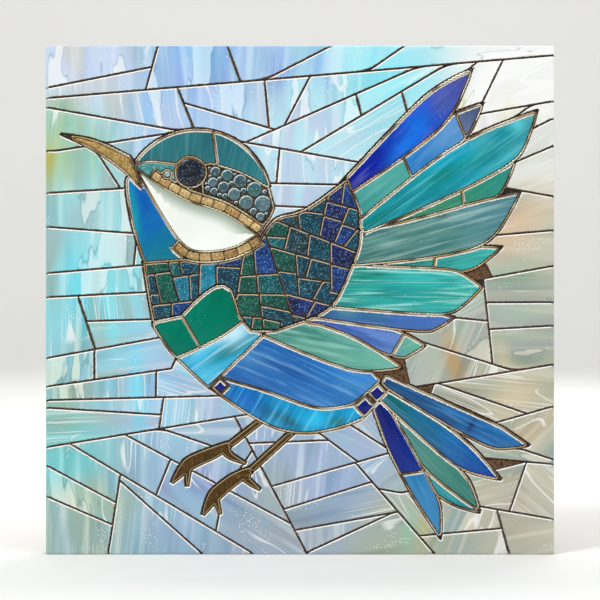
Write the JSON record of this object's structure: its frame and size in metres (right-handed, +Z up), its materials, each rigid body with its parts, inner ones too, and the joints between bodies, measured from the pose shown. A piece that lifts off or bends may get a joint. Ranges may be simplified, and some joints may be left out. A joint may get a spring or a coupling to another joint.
{
  "type": "mosaic picture tile",
  "caption": "Square ceramic wall tile faced with a raised mosaic: a songbird in blue and green glass with gilt wire seams on a ground of pale opal shards.",
  "frame": {"origin": "middle of the tile's back face, on the rib that runs up between the recesses", "axes": "+Z up and -Y out of the picture, as the tile hangs on a wall; the wall is the plane Y = 0"},
  "size_m": [0.3, 0.0127, 0.3],
  "materials": {
    "biscuit": "matte",
    "opal_glass": "gloss",
    "gold_leaf": "satin",
    "bronze": "satin",
    "glitter_glaze": "gloss",
    "white_glaze": "gloss",
    "eye_glaze": "gloss",
    "pearl_glaze": "gloss",
    "dark_teal_glass": "gloss",
    "cerulean_glass": "gloss",
    "cobalt_glass": "gloss",
    "emerald_glass": "gloss",
    "aqua_glass": "gloss",
    "blue_glass": "gloss",
    "periwinkle_glass": "gloss",
    "sea_green_glass": "gloss",
    "grey_teal_glass": "gloss"
  },
  "bodies": {
    "root": {"aqua_band": "aqua_glass", "beak": "gold_leaf", "belly": "cerulean_glass", "breast_back": "emerald_glass", "breast_front": "emerald_glass", "brow_tesserae": "gold_leaf", "ceramic_tile": "biscuit", "cheek": "white_glaze", "cobalt_square_back": "cobalt_glass", "cobalt_square_front": "cobalt_glass", "cobalt_square_middle": "cobalt_glass", "collar_tesserae": "gold_leaf", "crown_back": "dark_teal_glass", "crown_front": "dark_teal_glass", "ear_beads": "glitter_glaze", "eye": "eye_glaze", "flank": "blue_glass", "gilt_wire": "gold_leaf", "ground_mosaic": "opal_glass", "ground_shard_01": "opal_glass", "ground_shard_02": "opal_glass", "ground_shard_03": "opal_glass", "ground_shard_04": "opal_glass", "ground_shard_05": "opal_glass", "ground_shard_06": "opal_glass", "ground_shard_07": "opal_glass", "ground_shard_08": "opal_glass", "ground_shard_09": "opal_glass", "ground_shard_10": "opal_glass", "ground_shard_11": "opal_glass", "ground_shard_12": "opal_glass", "leg_back": "bronze", "leg_front": "bronze", "lore": "sea_green_glass", "lore_pearl": "pearl_glaze", "mantle_tesserae": "glitter_glaze", "tail_feather_1": "blue_glass", "tail_feather_2": "blue_glass", "tail_feather_3": "sea_green_glass", "tail_feather_4": "sea_green_glass", "tail_feather_5_root": "cobalt_glass", "tail_feather_5_tip": "blue_glass", "throat": "cerulean_glass", "wing_feather_01": "cobalt_glass", "wing_feather_02_middle": "periwinkle_glass", "wing_feather_02_root": "sea_green_glass", "wing_feather_02_tip": "periwinkle_glass", "wing_feather_03": "sea_green_glass", "wing_feather_04_root": "sea_green_glass", "wing_feather_04_tip": "sea_green_glass", "wing_feather_05": "grey_teal_glass", "wing_feather_06_root": "sea_green_glass", "wing_feather_06_tip": "sea_green_glass", "wing_feather_07": "sea_green_glass", "wing_feather_08": "periwinkle_glass", "wing_feather_09_root": "periwinkle_glass", "wing_feather_09_tip": "sea_green_glass", "wing_feather_10": "sea_green_glass"}
  },
  "joints": []
}
